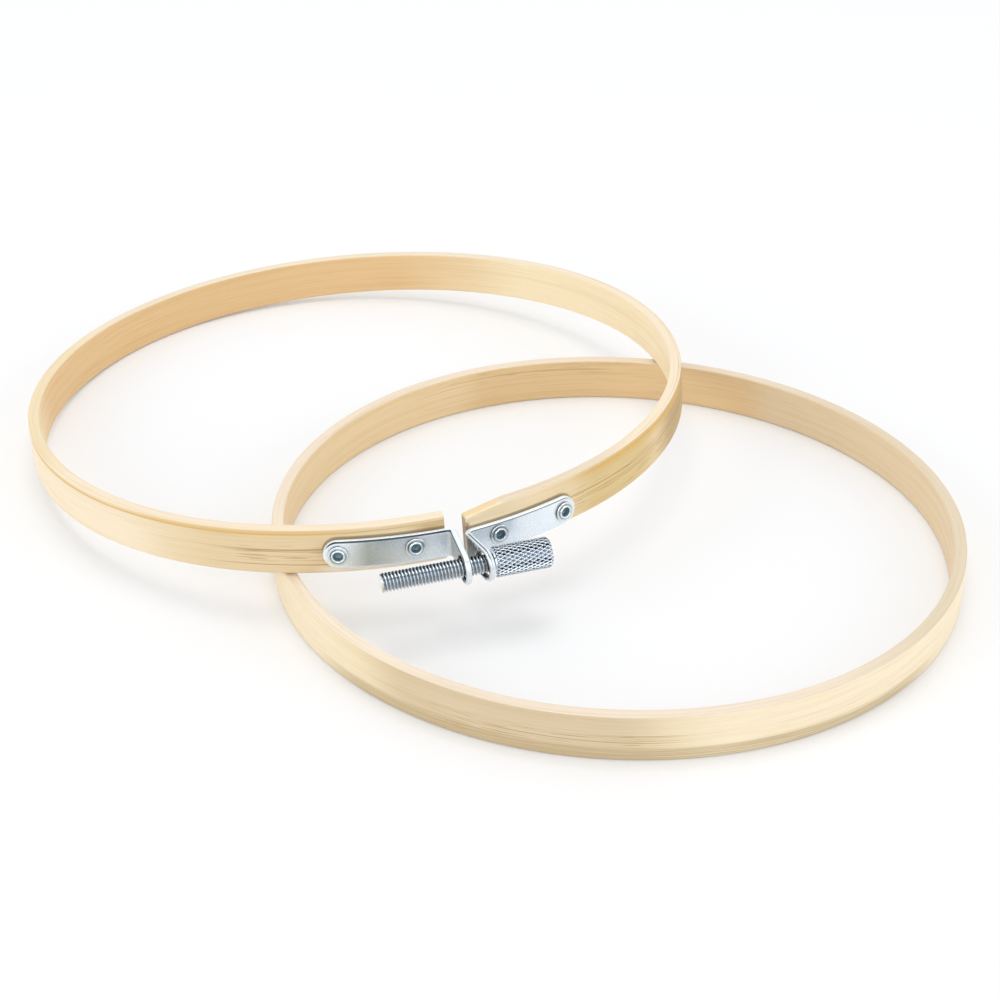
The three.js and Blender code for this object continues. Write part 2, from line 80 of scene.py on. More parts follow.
# Brackets
SHEET = 1.2 * MM
SHEET_FILLET = 0.42 * MM
AIR = 0.3 * MM  # between the band and the brackets
PLATE_HEIGHT = 6.1 * MM
BEND_RADIUS = 0.6 * MM
EYE_WALL = 1.2 * MM
EYE_PLAY = 0.15 * MM  # the eyes' bores lie square to the sheet here, so they are wider than the CAD's
FIRST_RIVET = 8.55 * MM
RIVET_PITCH = 15 * MM
RIVET_HOLE = 1.5 * MM
NUT = dict(
    side=-1, rise=-0.1 * MM, slope=1.3, offset=-1 * MM, lean=-1, bore=2.25 * MM,
    ear_front=0.85, ear_back=0.5, ear_line=1.6, ear_middle=0.0, plate_line=7.0, plate_second=2.0, patch=0.75,
)
HEAD = dict(
    side=1, rise=-1.15 * MM, slope=2, offset=1.7 * MM, lean=10, bore=2.35 * MM,
    ear_front=0.1, ear_back=1.05, ear_line=4.0, ear_middle=1.4, plate_line=1.5, plate_second=0.0, patch=0.0,
)

# Painted shade and painted reflection on the brackets' plating, shown as darker tint. NUT and HEAD say how
# much:
# on the ear's faces and the lines of its upper edge, on two lines of the plate's upper edge, and in a patch
# on the plate. The lines stand in for dark reflections in the rounded upper edges, the ear's faces for shade
# and dark reflection, and the patch for a darker reflection on the plate.
EAR_FADE_START = 1.7 * MM  # before the ear
EAR_FADE = 1.9 * MM
PATCH_MIDDLE = 12 * MM  # along the sheet's path, which starts 3 mm past the plate's round end
PATCH_BEFORE = 5 * MM
PATCH_AFTER = 13 * MM
# painted shade in the rim of the ear's eye
BORE_SHADE = 1.4
RIM_SHARE = 0.15  # of the face's painted shade, on rounded edges
EAR_STEPS = 24

# Rivets
RIVET_SHANK = 1.35 * MM
RIVET_BORE = 1.0 * MM
RIVET_BORE_DEPTH = 1.4 * MM
RIM_RADIUS = 2.05 * MM
RIM_HEIGHT = 0.8 * MM
RIVET_HEAD_RADIUS = 2.2 * MM
RIVET_HEAD_THICKNESS = 0.6 * MM
RIVET_HEAD_CROWN = 0.14 * MM
FLANGE_HEIGHT = 0.36 * MM
FLANGE_FILLET = 0.16 * MM
LIP_WALL = 0.42 * MM
LIP_BASE = 0.54 * MM
LIP_RISE = 0.26 * MM
ON_AXIS = 0.02 * MM  # as near to the axis as a spun profile comes

# Thumbscrew
SCREW_STANDOFF = 8.7 * MM
SCREW_RISE = -2.6 * MM
THREAD_RADIUS = 1.95 * MM
THREAD_PITCH = 0.7 * MM
THREAD_DEPTH = 0.42 * MM
THREAD_FOOT = 0.87  # where a ridge starts, as a share of half a pitch from its middle
THREAD_FLANK = 0.66
THREAD_WEAR = 0.015 * MM
UPPER_LINE_SHADE = 1.4  # painted shade along the thread's upper outline
# painted light: less shade on the thread's lower side
LOWER_SIDE_BRIGHT = 0.35
THREAD_OVERHANG = 17.2 * MM
THREAD_END_CHAMFER = 0.25 * MM
CUT_END = -1.0  # marks the rod's bright cut end, as other grooves count from 0 up
NECK_RADIUS = 2.35 * MM
NECK_LENGTH = 0.3 * MM
KNURL_RADIUS = 3.15 * MM
KNURL_LENGTH = 11.6 * MM
KNURL_DEPTH = 0.34 * MM
KNURL_CHAMFER = 0.35 * MM
PIT_SHARE = 0.3  # the pits' flat floor
RIDGE_SHARE = 0.6
FRONT_PITS, UPPER_PITS, LOWER_PITS = 0.61, 2.4, 1.0  # painted shade in the pits: everywhere, and more towards the upper and lower outlines, the last two on top of the first
SPIGOT_RADIUS = 1.5 * MM
DIAMONDS_ROUND = 24
DIAMONDS_ALONG = 7

# The frame that the outer ring lies in, from the joints
JOINTS = {joint["name"]: joint for joint in frame["joints"]}
UP = Vector(JOINTS["ring_flex"]["axis"]).normalized()
PIVOT = Vector(JOINTS["ring_flex"]["pos_m"])
SCREW_ORIGIN = Vector(JOINTS["thumbscrew_turn"]["pos_m"])
SCREW_AXIS = -Vector(JOINTS["thumbscrew_turn"]["axis"]).normalized()
TO_SCREW = SCREW_ORIGIN - PIVOT
OUT = (TO_SCREW - UP * TO_SCREW.dot(UP)).normalized()
ALONG = UP.cross(OUT)


def outer_radius(angle):
    return OUTER_RADIUS + OUTER_OVALITY * math.cos(2 * (angle - OUTER_LONG_AXIS))


def inner_radius(angle):
    return INNER_RADIUS + INNER_OVALITY * math.cos(2 * (angle - INNER_LONG_AXIS))


OUTER_CENTRE = PIVOT + OUT * (outer_radius(math.pi) - OUTER_WALL / 2) - UP * BAND_HEIGHT / 2
LOW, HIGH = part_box("inner_ring")
INNER_CENTRE = Vector(((LOW.x + HIGH.x) / 2, (LOW.y + HIGH.y) / 2, LOW.z))
OUTER_FRAME = Matrix((OUT, ALONG, UP)).transposed()
INNER_FRAME = Matrix.Identity(3)


def clamped(value):
    """A value held between 0 and 1."""
    return min(max(value, 0.0), 1.0)


def heading(angle):
    """The flat unit vector at an angle."""
    return Vector((math.cos(angle), math.sin(angle)))


# Mesh helpers
def linked(name, data):
    """A new object in the scene."""
    made = bpy.data.objects.new(name, data)
    bpy.context.scene.collection.objects.link(made)
    return made


def cleaned(mesh, sharp, mend=None):
    """Mends a mesh, turns its faces outwards and smooths it, up to an angle in degrees."""
    builder = bmesh.new()
    builder.from_mesh(mesh)
    if mend:
        mend(builder)
    bmesh.ops.recalc_face_normals(builder, faces=builder.faces)
    builder.to_mesh(mesh)
    builder.free()
    mesh.shade_smooth()
    mesh.set_sharp_from_angle(angle=math.radians(sharp))


def weld(builder):
    bmesh.ops.remove_doubles(builder, verts=builder.verts, dist=1e-7)


def close_ends(builder):
    bmesh.ops.dissolve_degenerate(builder, dist=1e-7, edges=builder.edges)
    bmesh.ops.holes_fill(builder, edges=[e for e in builder.edges if e.is_boundary], sides=0)


def new_object(name, vertices, faces, material, sharp=35, grooves_and_painted_shade=None):
    """A piece of metal. Each point carries its hollowness and painted shade, which its material reads as
    darker tint.
    """
    mesh = bpy.data.meshes.new(name)
    mesh.from_pydata([tuple(v) for v in vertices], [], faces)
    if grooves_and_painted_shade:
        depth = mesh.attributes.new("groove_and_painted_shade", "FLOAT", "POINT")
        depth.data.foreach_set("value", grooves_and_painted_shade)
    cleaned(mesh, sharp, weld)
    mesh.materials.append(material)
    return linked(name, mesh)


def grid_faces(rows, columns, wrap_rows=False, wrap_columns=True):
    """Quads of a grid of points numbered row by row."""
    faces = []
    for i in range(rows if wrap_rows else rows - 1):
        for j in range(columns if wrap_columns else columns - 1):
            k, m = (i + 1) % rows, (j + 1) % columns
            faces.append((i * columns + j, k * columns + j, k * columns + m, i * columns + m))
    return faces


def end_faces(rows, columns):
    """The two faces that close a tube of such points."""
    last = (rows - 1) * columns
    return [tuple(range(columns)), tuple(last + i for i in reversed(range(columns)))]


def spun(profile, segments):
    """Points and faces of a profile of (radius, height) pairs spun about +Z, closed at both ends."""
    vertices = []
    for radius, height in profile:
        for i in range(segments):
            turn = 2 * math.pi * i / segments
            vertices.append((radius * math.cos(turn), radius * math.sin(turn), height))
    return vertices, grid_faces(len(profile), segments) + end_faces(len(profile), segments)


def placed(vertices, origin, axis):
    """Points about +Z moved to an origin and turned to an axis."""
    turn = Vector((0, 0, 1)).rotation_difference(axis).to_matrix()
    return [origin + turn @ Vector(v) for v in vertices]


def waver(distance, seed, length, amount):
    """A slow, even wandering along a strip."""
    waves = ((1.0, 0.5), (1.7, 0.3), (2.9, 0.2))
    return amount * sum(
        share * math.sin(2 * math.pi * rate * distance / length + seed * (k + 1.3))
        for k, (rate, share) in enumerate(waves)
    )


# Shader helpers
def shader(name):
    material = bpy.data.materials.new(name)
    material.use_nodes = True
    tree = material.node_tree
    tree.nodes.clear()
    return material, tree


def feed(tree, socket, value):
    """Sets an input to a value, or links it from an output."""
    if isinstance(value, bpy.types.NodeSocket):
        tree.links.new(value, socket)
    else:
        socket.default_value = value


def node(tree, kind, inputs=None, **settings):
    """Adds a node. Inputs are values, or sockets to link from."""
    made = tree.nodes.new("ShaderNode" + kind)
    for key, value in settings.items():
        setattr(made, key, value)
    for key, value in (inputs or {}).items():
        feed(tree, made.inputs[key], value)
    return made


def noise(tree, vector, scale, offset, detail=2.0, roughness=0.5):
    scaled = node(tree, "VectorMath", {0: vector, 1: scale, 2: offset}, operation="MULTIPLY_ADD")
    inputs = {"Vector": scaled.outputs[0], "Scale": 1.0, "Detail": detail, "Roughness": roughness}
    return node(tree, "TexNoise", inputs).outputs["Fac"]


def ranged(tree, value, low, high, to_low=0.0, to_high=1.0, smooth=True):
    inputs = {"Value": value, "From Min": low, "From Max": high, "To Min": to_low, "To Max": to_high}
    kind = "SMOOTHSTEP" if smooth else "LINEAR"
    return node(tree, "MapRange", inputs, interpolation_type=kind).outputs["Result"]


def math_node(tree, operation, a, b):
    return node(tree, "Math", {0: a, 1: b}, operation=operation).outputs[0]


def times(tree, a, b):
    return math_node(tree, "MULTIPLY", a, b)


def blended(tree, factor, a, b):
    mixer = node(tree, "Mix", data_type="RGBA")
    for socket, value in zip((0, 6, 7), (factor, a, b)):
        feed(tree, mixer.inputs[socket], value)
    return mixer.outputs[2]


def finished(tree, inputs):
    surface = node(tree, "BsdfPrincipled", inputs)
    output = node(tree, "OutputMaterial")
    tree.links.new(surface.outputs[0], output.inputs["Surface"])


def stretch(tree, value, start, end, soft):
    """1 between two values, fading to 0 outside them."""
    rise = ranged(tree, value, start - soft, start)
    return times(tree, rise, ranged(tree, value, end + soft, end))


def capsule(tree, length, height, start, end, radius):
    """How far a place on a strip lies outside a round-ended bar from one (length, height) to another."""
    place = node(tree, "CombineXYZ", {0: length, 1: height}).outputs[0]
    (x, y), (run_x, run_y) = start, (end[0] - start[0], end[1] - start[1])
    away = node(tree, "VectorMath", {0: place, 1: (x, y, 0)}, operation="SUBTRACT").outputs[0]
    square = run_x ** 2 + run_y ** 2
    share = {0: away, 1: (run_x / square, run_y / square, 0)}
    share = node(tree, "VectorMath", share, operation="DOT_PRODUCT").outputs["Value"]
    share = math_node(tree, "MINIMUM", math_node(tree, "MAXIMUM", share, 0.0), 1.0)
    run = node(tree, "CombineXYZ", {0: run_x, 1: run_y}).outputs[0]
    nearest = node(tree, "VectorMath", {0: run, "Scale": share}, operation="SCALE").outputs[0]
    distance = node(tree, "VectorMath", {0: away, 1: nearest}, operation="DISTANCE").outputs["Value"]
    return math_node(tree, "SUBTRACT", distance, radius)


def tinted(tree, colour, tint):
    return node(tree, "VectorMath", {0: colour, 1: tint}, operation="MULTIPLY").outputs[0]


FIBRE_BROWN = (0.42, 0.25, 0.1, 1)
SEAM_BROWN = (0.5, 0.29, 0.08, 1)
SKIN_GOLD = (0.74, 0.47, 0.15, 1)
# the last is painted shadow above the brackets' plates
PAINTED_SHADOW_BROWN = (0.2, 0.13, 0.06, 1)


def bamboo(name, look):
    """Split bamboo: long pale fibres with thin dark ones, in the strip's own (length, height, depth)."""
    material, tree = shader(name)
    seed = look["seed"]
    strip_place = node(tree, "Attribute", attribute_name="grain").outputs["Vector"]
    split = node(tree, "SeparateXYZ", {0: strip_place}).outputs
    length, height, depth = split["X"], split["Y"], split["Z"]
    drift = {0: strip_place, 1: (14, 60, 60), 2: (seed * 5, seed, 2)}
    drift = node(tree, "VectorMath", drift, operation="MULTIPLY_ADD").outputs[0]
    drift = node(tree, "TexNoise", {"Vector": drift, "Scale": 1.0, "Detail": 1.0}).outputs["Color"]
    drift = node(tree, "VectorMath", {0: drift, 1: (0.5, 0.5, 0.5)}, operation="SUBTRACT").outputs[0]
    wander = {0: drift, 1: (0, 1.6 * MM, 1.6 * MM), 2: strip_place}
    grain = node(tree, "VectorMath", wander, operation="MULTIPLY_ADD").outputs[0]

    shift = (seed * 7.3, seed * 3.1, seed * 1.7)
    fine = noise(tree, grain, (22, 4600, 4600), shift, 4, 0.65)
    hair = noise(tree, grain, (60, 8200, 8200), shift, 2, 0.6)
    broad = noise(tree, grain, (8, 700, 520), shift, 2, 0.55)
    slow = noise(tree, grain, (11, 60, 30), shift, 1)
    thin = noise(tree, grain, (13, 3800, 1500), (seed, seed * 5, 3), 1)
    short = noise(tree, grain, (130, 4400, 2600), (3, seed * 5, seed), 0)
    patch = noise(tree, grain, (24, 300, 60), (seed * 2, 5, seed), 1)

    faces = {
        "inside": ranged(tree, depth, 2.1 * MM, 2.5 * MM),
        "outside": ranged(tree, depth, 0.45 * MM, 0.15 * MM),
        "edge": ranged(tree, height, BAND_HEIGHT - 0.3 * MM, BAND_HEIGHT - 0.1 * MM),
    }
    wood = blended(tree, ranged(tree, slow, 0.3, 0.7), look["pale"], look["warm"])
    for face in ("outside", "inside", "edge"):
        for start, end, soft, colour in look[face]:
            here = times(tree, stretch(tree, length, start, end, soft), faces[face])
            wood = blended(tree, here, wood, (*colour, 1))
    dark = tinted(tree, wood, (0.84, 0.76, 0.6))
    light = tinted(tree, wood, (1.06, 1.1, 1.16))
    wood = blended(tree, ranged(tree, fine, 0.48, 0.76, 0, 0.7), wood, dark)
    wood = blended(tree, ranged(tree, fine, 0.46, 0.24, 0, 0.6), wood, light)
    wood = blended(tree, ranged(tree, broad, 0.5, 0.72, 0, 0.25), wood, dark)
    wood = blended(tree, ranged(tree, hair, 0.52, 0.77, 0, 0.48), wood, dark)

    # Dark fibres, some long and a few short, in clusters
    cluster = ranged(tree, patch, 0.5, 0.64, 0, 0.22)
    for start, end, low, high in look["fibrous"]:
        along = stretch(tree, length, start, end, 15 * MM)
        across = stretch(tree, height, low, high, 1 * MM)
        cluster = math_node(tree, "MAXIMUM", cluster, times(tree, along, across))
    sparse = look["sparse"]
    long_fibres = times(tree, ranged(tree, thin, sparse, sparse + 0.06), cluster)
    short_fibres = times(tree, ranged(tree, short, 0.68, 0.74), cluster)
    fibres = math_node(tree, "MAXIMUM", long_fibres, times(tree, short_fibres, 0.8))
    shown = ranged(tree, faces["outside"], 0, 1, 0.4, 0.85)
    wood = blended(tree, times(tree, fibres, shown), wood, FIBRE_BROWN)

    # Stains at places on the outside. The inner ring's is painted shade along the foot of its front
    for start, end, low, high, soft, colour in look["stains_and_shade"]:
        stain = times(tree, stretch(tree, length, start, end, soft), faces["outside"])
        stain = times(tree, stain, stretch(tree, height, low, high, 0.9 * MM))
        stain = times(tree, stain, ranged(tree, fine, 0.35, 0.55, 0.25, 0.85))
        wood = blended(tree, stain, wood, (*colour, 1))

    # The skin of the cane: gold stretches under the upper outside edge, with a thin brown line below
    skin = stretch(tree, height, 8.9 * MM, 9.02 * MM, 0.12 * MM)
    skin = times(tree, skin, faces["outside"])
    seam = stretch(tree, depth, 0.6 * MM, 0.66 * MM, 0.14 * MM)
    seam = times(tree, times(tree, seam, faces["edge"]), 0.75)
    seam = times(tree, seam, stretch(tree, length, *look["seam"], 20 * MM))
    line = math_node(tree, "MAXIMUM", skin, seam)
    line = times(tree, line, ranged(tree, broad, 0.32, 0.55))
    skin_start, skin_amount = look["skin"]
    shown = ranged(tree, length, skin_start - 8 * MM, skin_start, 0.0, skin_amount)
    line = times(tree, line, shown)
    wood = blended(tree, line, wood, SEAM_BROWN)
    for start, end, low, amount in look["gold"]:
        band = times(tree, stretch(tree, height, low, 9.45 * MM, 0.3 * MM), faces["outside"])
        gold = times(tree, stretch(tree, length, start, end, 14 * MM), band)
        gold = times(tree, gold, ranged(tree, fine, 0.3, 0.6, 0.6 * amount, amount))
        wood = blended(tree, gold, wood, SKIN_GOLD)

    # Painted shadow: a thin dark brown line on the wood along the upper half of each bracket plate's outline
    for start, end in look["plate_shadows"]:
        outside = capsule(tree, length, height, start, end, PLATE_HEIGHT / 2)
        above = ranged(tree, height, min(start[1], end[1]), min(start[1], end[1]) + 2 * MM)
        rim = times(tree, ranged(tree, outside, 0.45 * MM, 0.15 * MM), above)
        rim = times(tree, rim, times(tree, faces["outside"], 0.6))
        wood = blended(tree, rim, wood, PAINTED_SHADOW_BROWN)

    raised = times(tree, fine, 0.6)
    relief = math_node(tree, "SUBTRACT", raised, times(tree, fibres, 0.5))
    bump = node(tree, "Bump", {"Height": relief, "Strength": 0.3, "Distance": 0.05 * MM})
    rough = ranged(tree, fine, 0.3, 0.7, 0.46, 0.62)
    finished(tree, {"Base Color": wood, "Roughness": rough, "Normal": bump.outputs[0], "IOR": 1.4})
    return material


def end_grain(name):
    """The cut end of the strip: pale ground with dark dots of fibre bundles, closer towards the skin."""
    material, tree = shader(name)
    grain = node(tree, "Attribute", attribute_name="grain").outputs["Vector"]
    scaled = node(tree, "VectorMath", {0: grain, 1: (0, 1900, 2300)}, operation="MULTIPLY").outputs[0]
    cells = node(tree, "TexVoronoi", {"Vector": scaled, "Scale": 1.0}).outputs["Distance"]
    speck = noise(tree, grain, (0, 5200, 5200), (4, 1, 2), 3)
    skin = ranged(tree, node(tree, "SeparateXYZ", {0: grain}).outputs["Z"], 1.4 * MM, 0.2 * MM)
    dots = times(tree, ranged(tree, cells, 0.42, 0.2), ranged(tree, skin, 0, 1, 0.35, 0.9))
    wood = blended(tree, ranged(tree, speck, 0.35, 0.7), (0.6, 0.48, 0.35, 1), (0.43, 0.34, 0.24, 1))
    wood = blended(tree, dots, wood, (0.2, 0.09, 0.05, 1))
    bump = node(tree, "Bump", {"Height": cells, "Strength": 0.3, "Distance": 0.08 * MM})
    finished(tree, {"Base Color": wood, "Roughness": 0.75, "Normal": bump.outputs[0]})
    return material


def zinc(name, seed, roughness, metallic, level, groove_and_painted_shade):
    """Bright zinc plating: bluish, faintly clouded, with fine scratches. Painted shade darkens it as far as
    each point's value says: in the hollows, along edges and on sides that take less light.
    """
    material, tree = shader(name)
    place = node(tree, "TexCoord").outputs["Object"]
    cloud = noise(tree, place, (170, 170, 170), (seed, 0, 0), 2, 0.5)
    specks = noise(tree, place, (5200, 5200, 5200), (0, seed, 0), 2, 0.6)
    scratches = noise(tree, place, (900, 260, 9000), (0, 0, seed), 2, 0.5)
    tint = blended(tree, ranged(tree, cloud, 0.35, 0.65), (0.79, 0.88, 0.97, 1), (0.85, 0.93, 1.0, 1))
    tint = tinted(tree, tint, (level, level, level))
    rough = ranged(tree, specks, 0.3, 0.7, roughness * 0.85, roughness * 1.2)
    depth = node(tree, "Attribute", attribute_name="groove_and_painted_shade").outputs["Fac"]
    # painted shade: darker tints as the point's value grows, near black at the deepest
    tint = blended(tree, ranged(tree, depth, *groove_and_painted_shade["mid"], smooth=False), tint, groove_and_painted_shade["flank"])
    tint = blended(tree, ranged(tree, depth, *groove_and_painted_shade["low"]), tint, groove_and_painted_shade["root"])
    tint = blended(tree, ranged(tree, depth, 0.0, CUT_END), tint, (0.98, 0.985, 1, 1))
    height = math_node(tree, "ADD", specks, times(tree, scratches, 0.7))
    bump = node(tree, "Bump", {"Height": height, "Strength": 0.035, "Distance": 0.02 * MM})
    finished(tree, {"Base Color": tint, "Metallic": metallic, "Roughness": rough, "Normal": bump.outputs[0]})
    return material


def shaded_bore(name):
    """The inside of a rivet's bore: dark teal-grey, partly tarnish and partly painted shade and dark
    reflection.
    """
    material, tree = shader(name)
    place = node(tree, "TexCoord").outputs["Object"]
    cloud = noise(tree, place, (1800, 1800, 1800), (5, 0, 0), 3, 0.6)
    tint = blended(tree, ranged(tree, cloud, 0.3, 0.7), (0.13, 0.22, 0.27, 1), (0.24, 0.36, 0.42, 1))
    bump = node(tree, "Bump", {"Height": cloud, "Strength": 0.2, "Distance": 0.05 * MM})
    finished(tree, {"Base Color": tint, "Metallic": 0.3, "Roughness": 0.5, "Normal": bump.outputs[0]})
    return material


# Bamboo strips
def section(top, inset):
    """The strip's outline as (depth from the outer face, height) points, shrunk by an inset."""
    foot = max(FOOT_FILLET - inset, 0.05 * MM)
    brow = max(TOP_FILLET - inset, 0.05 * MM)
    wall = OUTER_WALL
    corners = (
        (inset + foot, inset + foot, foot, math.pi),
        (wall - inset - foot, inset + foot, foot, 1.5 * math.pi),
        (wall - inset - brow, top - inset - brow, brow, 0),
        (inset + brow, top - inset - brow, brow, 0.5 * math.pi),
    )
    arc_steps = 6
    outline = []
    for x, y, fillet, first in corners:
        for step in range(arc_steps + 1):
            turn = first + 0.5 * math.pi * step / arc_steps
            outline.append((x + fillet * math.cos(turn), y + fillet * math.sin(turn)))
    dense = []
    face_steps = (4, 12, 4, 12)
    for corner in range(4):
        arc = outline[corner * (arc_steps + 1):(corner + 1) * (arc_steps + 1)]
        dense += arc
        here, there = arc[-1], outline[((corner + 1) * (arc_steps + 1)) % len(outline)]
        for step in range(1, face_steps[corner]):
            share = step / face_steps[corner]
            dense.append(tuple(a + (b - a) * share for a, b in zip(here, there)))
    return dense


def strip_stations(length, closed):
    """Distances along the strip with each section's top height and inset."""
    step = 0.65 * MM
    if closed:
        count = round(length / step)
        return [(length * k / count, BAND_HEIGHT, 0.0) for k in range(count)]
    turns = [0.5 * math.pi * k / 6 for k in range(7)]
    rounding = [(END_FILLET * (1 - math.cos(turn)), END_FILLET * (1 - math.sin(turn))) for turn in turns]
    stations = list(rounding)
    worn = 24
    sloped = TAPER_LENGTH - END_FILLET
    stations += [(END_FILLET + sloped * k / worn, 0.0) for k in range(1, worn + 1)]
    run = length - TAPER_LENGTH - END_FILLET
    count = round(run / step)
    stations += [(TAPER_LENGTH + run * k / count, 0.0) for k in range(1, count + 1)]
    stations += [(length - distance, inset) for distance, inset in reversed(rounding[:-1])]
    full = []
    for distance, inset in stations:
        drop = TAPER_DROP * max(0.0, 1 - distance / TAPER_LENGTH) ** TAPER_CURVE
        full.append((distance, BAND_HEIGHT - drop, inset))
    return full


def strip(name, radius_at, centre, axes, start, length, closed, materials, seed):
    """A bent strip. Distances run from the start angle, the way that the angle grows."""
    stations = strip_stations(length, closed)
    vertices, coordinates = [], []
    mean_radius = length / (2 * math.pi) if closed else OUTER_RADIUS
    for distance, top, inset in stations:
        angle = start + distance / mean_radius
        edge = radius_at(angle) - WAVER + waver(distance, seed, 0.14, WAVER)
        thick = 0.98 + waver(distance, seed + 2, 0.09, 0.02)
        lift = waver(distance, seed + 4, 0.11, WAVER / 2) - WAVER / 2
        for depth, height in section(top, inset):
            crown = CROWN * (1 - math.sin(math.pi * clamped(height / BAND_HEIGHT)))
            reach = edge - depth * thick - (crown if depth < OUTER_WALL / 2 else -crown)
            rise = height + lift * height / BAND_HEIGHT
            local = Vector((reach * math.cos(angle), reach * math.sin(angle), rise))
            vertices.append(centre + axes @ local)
            coordinates.append((distance, height, depth))
    rows, columns = len(stations), len(coordinates) // len(stations)
    faces = grid_faces(rows, columns, wrap_rows=closed)
    if not closed:
        faces += end_faces(rows, columns)
    mesh = bpy.data.meshes.new(name)
    mesh.from_pydata([tuple(v) for v in vertices], [], faces)
    grain = mesh.attributes.new("grain", "FLOAT_VECTOR", "CORNER")
    values = []
    for face in faces:
        near_seam = closed and min(face) < columns and max(face) >= (rows - 1) * columns
        for corner in face:
            distance, height, depth = coordinates[corner]
            values += [distance + (length if near_seam and corner < columns else 0), height, depth]
    grain.data.foreach_set("vector", values)
    cleaned(mesh, 50)
    for material in materials:
        mesh.materials.append(material)
    if not closed:
        for end in (len(faces) - 1, len(faces) - 2):
            mesh.polygons[end].material_index = 1
    return linked(name, mesh)


# Brackets, laid out flat as (length, height) and then bent
def outline_points(corners, step):
    """Points at even steps along a closed polygon."""
    points = []
    for here, there in zip(corners, corners[1:] + corners[:1]):
        count = max(1, round((there - here).length / step))
        points += [here.lerp(there, k / count) for k in range(count)]
    return points


def inwards(points, hole):
    """Unit normals of a closed run of points, towards the sheet."""
    area = sum(a.cross(b) for a, b in zip(points, points[1:] + points[:1]))
    way = (1 if area > 0 else -1) * (-1 if hole else 1)
    normals = []
    for k, point in enumerate(points):
        before, after = points[k - 1], points[(k + 1) % len(points)]
        a, b = (point - before).normalized(), (after - point).normalized()
        tangent = (a + b).normalized()
        normals.append(Vector((-tangent.y, tangent.x)) * way)
    return normals


def circle(centre, radius, step=0.2 * MM):
    count = round(2 * math.pi * radius / step)
    turns = [2 * math.pi * k / count for k in range(count)]
    return [centre + Vector((radius * math.cos(turn), radius * math.sin(turn))) for turn in turns]


def arc_points(centre, radius, first, sweep, steps=40):
    return [centre + heading(first + sweep * k / steps) * radius for k in range(steps + 1)]


def touch(eye, radius, corner, side):
    """The angle where the line from a corner touches a circle."""
    away = corner - eye
    return math.atan2(away.y, away.x) + side * math.acos(min(1, radius / away.length))


def bracket_layout(kind):
    """The bent path of the sheet, its flat outline and its holes, in the outer ring's own frame."""
    side, slope, lean = kind["side"], math.tan(math.radians(kind["slope"])), math.radians(kind["lean"])
    fold_angle = kind["offset"] / OUTER_RADIUS
    mid_gap = AIR + SHEET / 2

    def on_band(angle):
        return heading(angle) * (outer_radius(angle) + mid_gap)

    fold = on_band(fold_angle)
    reach = heading(lean)
    screw = Vector((outer_radius(0) + SCREW_STANDOFF, 0))
    axis_local = OUTER_FRAME.transposed() @ SCREW_AXIS
    run = eye_run(kind)
    eye = screw + axis_local.xy * run
    eye_height = BAND_HEIGHT / 2 + SCREW_RISE + axis_local.z * run
    eye_radius = kind["bore"] + EYE_WALL
    turn = math.pi / 2 + side * (lean - fold_angle)
    bend_middle = BEND_RADIUS + SHEET / 2
    bend_length = bend_middle * math.tan(turn / 2)

    # The path: the plate's arc, the bend, the straight ear
    rivets = [side * (FIRST_RIVET + k * RIVET_PITCH) / OUTER_RADIUS for k in range(2)]
    far = rivets[1] + side * PLATE_HEIGHT / OUTER_RADIUS
    last = fold_angle + side * bend_length / OUTER_RADIUS
    path = []
    steps = 90
    for k in range(steps + 1):
        angle = far + (last - far) * k / steps
        path.append((on_band(angle), heading(angle)))
    outwards = heading(fold_angle)
    towards = Vector((-outwards.y, outwards.x)) * -side
    centre = fold - towards * bend_length + outwards * bend_middle
    for k in range(1, 15):
        bent = turn * k / 14
        face = outwards * math.cos(bent) - towards * math.sin(bent)
        path.append((centre - face * bend_middle, face))
    bend_end = len(path) - 1
    tip = fold + reach * ((eye - fold).dot(reach) + eye_radius + 1 * MM)
    start = path[-1][0]
    for k in range(1, EAR_STEPS + 1):
        path.append((start.lerp(tip, k / EAR_STEPS), path[bend_end][1]))
    lengths = [0.0]
    for (a, _), (b, _) in zip(path, path[1:]):
        lengths.append(lengths[-1] + (b - a).length)

    per_angle = lengths[steps] / abs(last - far)
    middle = BAND_HEIGHT / 2 + kind["rise"]
    rivet_places = [Vector((abs(angle - far) * per_angle, middle)) for angle in rivets]
    ear_start = lengths[bend_end]
    fall = slope * (FIRST_RIVET + RIVET_PITCH - abs(kind["offset"]))
    eye_place = Vector((ear_start + (eye - start).dot(reach), eye_height))
    half = PLATE_HEIGHT / 2
    low, high = Vector((ear_start, middle - fall - half)), Vector((ear_start, middle - fall + half))
    first_touch = touch(eye_place, eye_radius, low, 1)
    last_touch = touch(eye_place, eye_radius, high, -1)
    while last_touch < first_touch:
        last_touch += 2 * math.pi
    corners = [low, *arc_points(eye_place, eye_radius, first_touch, last_touch - first_touch)]
    corners += [high, *arc_points(rivet_places[1], half, math.pi / 2, math.pi)]
    holes = [circle(place, RIVET_HOLE) for place in rivet_places]
    holes.append(circle(eye_place, kind["bore"] + EYE_PLAY))
    return path, lengths, outline_points(corners, 0.3 * MM), holes


